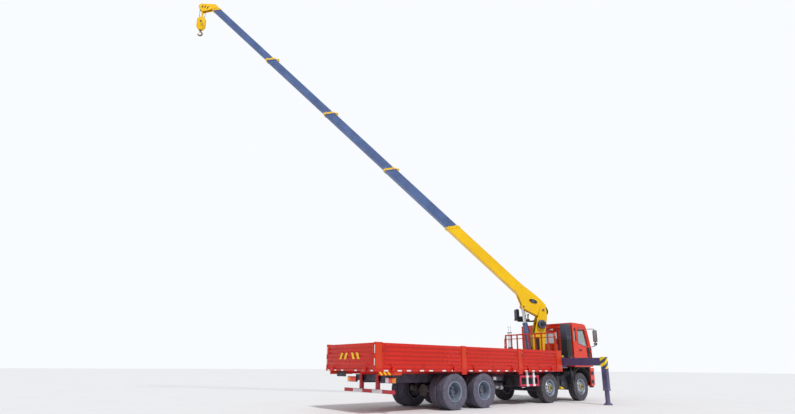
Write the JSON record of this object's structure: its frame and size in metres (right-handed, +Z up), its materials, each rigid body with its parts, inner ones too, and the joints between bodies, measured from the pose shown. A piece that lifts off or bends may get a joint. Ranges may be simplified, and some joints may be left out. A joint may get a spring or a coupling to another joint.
{
  "type": "truck-mounted telescopic crane",
  "caption": "Cab-over four-axle dropside lorry with a stiff telescopic boom crane behind the cab, outriggers out, boom raised and extended, hook hanging.",
  "frame": {"origin": "bottom centre of the bounding box, on the ground", "axes": "+X forward along the lorry, +Y to its left, +Z up"},
  "size_m": [14.6174, 11.6478, 17.6737],
  "materials": {
    "axle_iron": "rusty, dusty",
    "body_red": "semi-gloss, dusty",
    "boom_slate": "semi-gloss",
    "cab_red": "gloss",
    "chassis_grey": "matte, dusty",
    "crane_yellow": "semi-gloss",
    "engine_iron": "oily",
    "guard_white": "semi-gloss",
    "intake_plastic": "matte",
    "outrigger_slate": "semi-gloss",
    "rim_steel": "satin, dusty",
    "rod_chrome": "polished",
    "tank_aluminium": "satin",
    "tyre_rubber": "dusty",
    "winch_steel": "satin"
  },
  "bodies": {
    "chassis": {"air_intake": "intake_plastic", "bumper": "cab_red", "cab": "cab_red", "chassis_frame": "chassis_grey", "crane_base": "outrigger_slate", "deck": "body_red", "engine_gearbox": "engine_iron", "front_axle_1": "chassis_grey", "front_axle_2": "chassis_grey", "fuel_tank": "tank_aluminium", "headboard": "body_red", "rear_axle_3": "axle_iron", "rear_axle_4": "axle_iron", "side_guard_l": "guard_white", "side_guard_r": "guard_white", "underrun_bar": "body_red"},
    "steer_1_r": {"knuckle_1_r": "chassis_grey"},
    "wheel_1_r": {"tyre_1_r": "tyre_rubber", "rim_1_r": "rim_steel"},
    "steer_1_l": {"knuckle_1_l": "chassis_grey"},
    "wheel_1_l": {"tyre_1_l": "tyre_rubber", "rim_1_l": "rim_steel"},
    "steer_2_r": {"knuckle_2_r": "chassis_grey"},
    "wheel_2_r": {"tyre_2_r": "tyre_rubber", "rim_2_r": "rim_steel"},
    "steer_2_l": {"knuckle_2_l": "chassis_grey"},
    "wheel_2_l": {"tyre_2_l": "tyre_rubber", "rim_2_l": "rim_steel"},
    "wheel_3_r": {"twin_tyre_3_r": "tyre_rubber", "twin_rim_3_r": "rim_steel"},
    "wheel_3_l": {"twin_tyre_3_l": "tyre_rubber", "twin_rim_3_l": "rim_steel"},
    "wheel_4_r": {"twin_tyre_4_r": "tyre_rubber", "twin_rim_4_r": "rim_steel"},
    "wheel_4_l": {"twin_tyre_4_l": "tyre_rubber", "twin_rim_4_l": "rim_steel"},
    "drop_side_1_r": {"drop_side_1_r": "body_red"},
    "drop_side_1_l": {"drop_side_1_l": "body_red"},
    "drop_side_2_r": {"drop_side_2_r": "body_red"},
    "drop_side_2_l": {"drop_side_2_l": "body_red"},
    "drop_side_3_r": {"drop_side_3_r": "body_red"},
    "drop_side_3_l": {"drop_side_3_l": "body_red"},
    "tailgate": {"tailgate": "body_red"},
    "door_r": {"door_r": "cab_red"},
    "outrigger_r": {"outrigger_beam_r": "outrigger_slate"},
    "jack_r": {"jack_r": "outrigger_slate"},
    "door_l": {"door_l": "cab_red"},
    "outrigger_l": {"outrigger_beam_l": "outrigger_slate"},
    "jack_l": {"jack_l": "outrigger_slate"},
    "column": {"column": "crane_yellow", "operator_seat": "winch_steel"},
    "winch_drum": {"winch_drum": "winch_steel"},
    "boom_base": {"boom_base": "crane_yellow"},
    "boom_section_2": {"boom_section_2": "boom_slate"},
    "boom_section_3": {"boom_section_3": "boom_slate"},
    "boom_section_4": {"boom_section_4": "boom_slate"},
    "boom_section_5": {"boom_section_5": "boom_slate"},
    "luff_barrel": {"luff_barrel": "boom_slate"},
    "luff_rod": {"luff_rod": "rod_chrome"},
    "hook": {"hook_block": "crane_yellow"}
  },
  "joints": [
    {"name": "steering_1_r", "type": "hinge", "parent": "chassis", "child": "steer_1_r", "pos_m": [6.37873, -3.69682, 0.542], "axis": [0, 0, 1], "range_deg": [-32, 32]},
    {"name": "wheel_1_r_spin", "type": "hinge", "parent": "steer_1_r", "child": "wheel_1_r", "pos_m": [6.37873, -3.83982, 0.542], "axis": [0, 1, 0], "continuous": true},
    {"name": "steering_1_l", "type": "hinge", "parent": "chassis", "child": "steer_1_l", "pos_m": [6.37873, -1.99682, 0.542], "axis": [0, 0, 1], "range_deg": [-32, 32]},
    {"name": "wheel_1_l_spin", "type": "hinge", "parent": "steer_1_l", "child": "wheel_1_l", "pos_m": [6.37873, -1.85382, 0.542], "axis": [0, 1, 0], "continuous": true},
    {"name": "steering_2_r", "type": "hinge", "parent": "chassis", "child": "steer_2_r", "pos_m": [4.19873, -3.69682, 0.542], "axis": [0, 0, 1], "range_deg": [-19.84, 19.84]},
    {"name": "wheel_2_r_spin", "type": "hinge", "parent": "steer_2_r", "child": "wheel_2_r", "pos_m": [4.19873, -3.83982, 0.542], "axis": [0, 1, 0], "continuous": true},
    {"name": "steering_2_l", "type": "hinge", "parent": "chassis", "child": "steer_2_l", "pos_m": [4.19873, -1.99682, 0.542], "axis": [0, 0, 1], "range_deg": [-19.84, 19.84]},
    {"name": "wheel_2_l_spin", "type": "hinge", "parent": "steer_2_l", "child": "wheel_2_l", "pos_m": [4.19873, -1.85382, 0.542], "axis": [0, 1, 0], "continuous": true},
    {"name": "wheel_3_r_spin", "type": "hinge", "parent": "chassis", "child": "wheel_3_r", "pos_m": [0.36873, -3.76332, 0.542], "axis": [0, 1, 0], "continuous": true},
    {"name": "wheel_3_l_spin", "type": "hinge", "parent": "chassis", "child": "wheel_3_l", "pos_m": [0.36873, -1.93032, 0.542], "axis": [0, 1, 0], "continuous": true},
    {"name": "wheel_4_r_spin", "type": "hinge", "parent": "chassis", "child": "wheel_4_r", "pos_m": [-0.98127, -3.76332, 0.542], "axis": [0, 1, 0], "continuous": true},
    {"name": "wheel_4_l_spin", "type": "hinge", "parent": "chassis", "child": "wheel_4_l", "pos_m": [-0.98127, -1.93032, 0.542], "axis": [0, 1, 0], "continuous": true},
    {"name": "drop_side_1_r_hinge", "type": "hinge", "parent": "chassis", "child": "drop_side_1_r", "pos_m": [-2.26127, -4.13682, 1.165], "axis": [1, 0, 0], "range_deg": [0, 175]},
    {"name": "drop_side_1_l_hinge", "type": "hinge", "parent": "chassis", "child": "drop_side_1_l", "pos_m": [-2.26127, -1.55682, 1.165], "axis": [-1, 0, 0], "range_deg": [0, 175]},
    {"name": "drop_side_2_r_hinge", "type": "hinge", "parent": "chassis", "child": "drop_side_2_r", "pos_m": [0.84873, -4.13682, 1.165], "axis": [1, 0, 0], "range_deg": [0, 175]},
    {"name": "drop_side_2_l_hinge", "type": "hinge", "parent": "chassis", "child": "drop_side_2_l", "pos_m": [0.84873, -1.55682, 1.165], "axis": [-1, 0, 0], "range_deg": [0, 175]},
    {"name": "drop_side_3_r_hinge", "type": "hinge", "parent": "chassis", "child": "drop_side_3_r", "pos_m": [3.47373, -4.13682, 1.165], "axis": [1, 0, 0], "range_deg": [0, 175]},
    {"name": "drop_side_3_l_hinge", "type": "hinge", "parent": "chassis", "child": "drop_side_3_l", "pos_m": [3.47373, -1.55682, 1.165], "axis": [-1, 0, 0], "range_deg": [0, 175]},
    {"name": "tailgate_hinge", "type": "hinge", "parent": "chassis", "child": "tailgate", "pos_m": [-4.11127, -2.84682, 1.165], "axis": [0, -1, 0], "range_deg": [0, 175]},
    {"name": "door_r_hinge", "type": "hinge", "parent": "chassis", "child": "door_r", "pos_m": [7.14073, -4.10182, 2.1], "axis": [0, 0, 1], "range_deg": [0, 70]},
    {"name": "outrigger_r_slide", "type": "slide", "parent": "chassis", "child": "outrigger_r", "axis": [0, -1, 0], "range_m": [-1.67, 0]},
    {"name": "jack_r_slide", "type": "slide", "parent": "outrigger_r", "child": "jack_r", "axis": [0, 0, -1], "range_m": [-0.38, 0]},
    {"name": "door_l_hinge", "type": "hinge", "parent": "chassis", "child": "door_l", "pos_m": [7.14073, -1.59182, 2.1], "axis": [0, 0, -1], "range_deg": [0, 70]},
    {"name": "outrigger_l_slide", "type": "slide", "parent": "chassis", "child": "outrigger_l", "axis": [0, 1, 0], "range_m": [-1.67, 0]},
    {"name": "jack_l_slide", "type": "slide", "parent": "outrigger_l", "child": "jack_l", "axis": [0, 0, -1], "range_m": [-0.38, 0]},
    {"name": "slew", "type": "hinge", "parent": "chassis", "child": "column", "pos_m": [5.28873, -2.84682, 1.76], "axis": [0, 0, 1], "continuous": true},
    {"name": "winch", "type": "hinge", "parent": "column", "child": "winch_drum", "pos_m": [5.3877, -2.91467, 3.02], "axis": [-0.5654, -0.8248, 0], "continuous": true},
    {"name": "luff", "type": "hinge", "parent": "column", "child": "boom_base", "pos_m": [5.48421, -2.98082, 3.618], "axis": [0.5654, 0.8248, 0], "range_deg": [-43, 25]},
    {"name": "luff_barrel_pin", "type": "hinge", "parent": "column", "child": "luff_barrel", "pos_m": [4.9588, -2.62066, 1.86], "axis": [0.5654, 0.8248, 0], "range_deg": [-2.15, 1.25]},
    {"name": "luff_rod_slide", "type": "slide", "parent": "luff_barrel", "child": "luff_rod", "axis": [-0.0736, 0.0504, 0.996], "range_m": [-0.5817, 0.3382]},
    {"name": "telescope_2", "type": "slide", "parent": "boom_base", "child": "boom_section_2", "axis": [-0.6005, 0.4116, 0.6856], "range_m": [-3.48, 0]},
    {"name": "telescope_3", "type": "slide", "parent": "boom_section_2", "child": "boom_section_3", "axis": [-0.6005, 0.4116, 0.6856], "range_m": [-3.48, 0]},
    {"name": "telescope_4", "type": "slide", "parent": "boom_section_3", "child": "boom_section_4", "axis": [-0.6005, 0.4116, 0.6856], "range_m": [-3.48, 0]},
    {"name": "telescope_5", "type": "slide", "parent": "boom_section_4", "child": "boom_section_5", "axis": [-0.6005, 0.4116, 0.6856], "range_m": [-3.48, 0]},
    {"name": "hook_swing", "type": "hinge", "parent": "boom_section_5", "child": "hook", "pos_m": [-7.11491, 5.65567, 17.48043], "axis": [0.5654, 0.8248, 0], "range_deg": [-25, 43]}
  ],
  "couplings": [
    {"joint": "steering_1_l", "follows": "steering_1_r", "ratio": 1},
    {"joint": "steering_2_r", "follows": "steering_1_r", "ratio": 0.62},
    {"joint": "steering_2_l", "follows": "steering_1_r", "ratio": 0.62},
    {"joint": "luff_barrel_pin", "follows": "luff", "ratio": 0.05},
    {"joint": "luff_rod_slide", "follows": "luff", "m_per_rad": 0.775},
    {"joint": "telescope_3", "follows": "telescope_2", "ratio": 1},
    {"joint": "telescope_4", "follows": "telescope_2", "ratio": 1},
    {"joint": "telescope_5", "follows": "telescope_2", "ratio": 1},
    {"joint": "hook_swing", "follows": "luff", "ratio": -1}
  ]
}
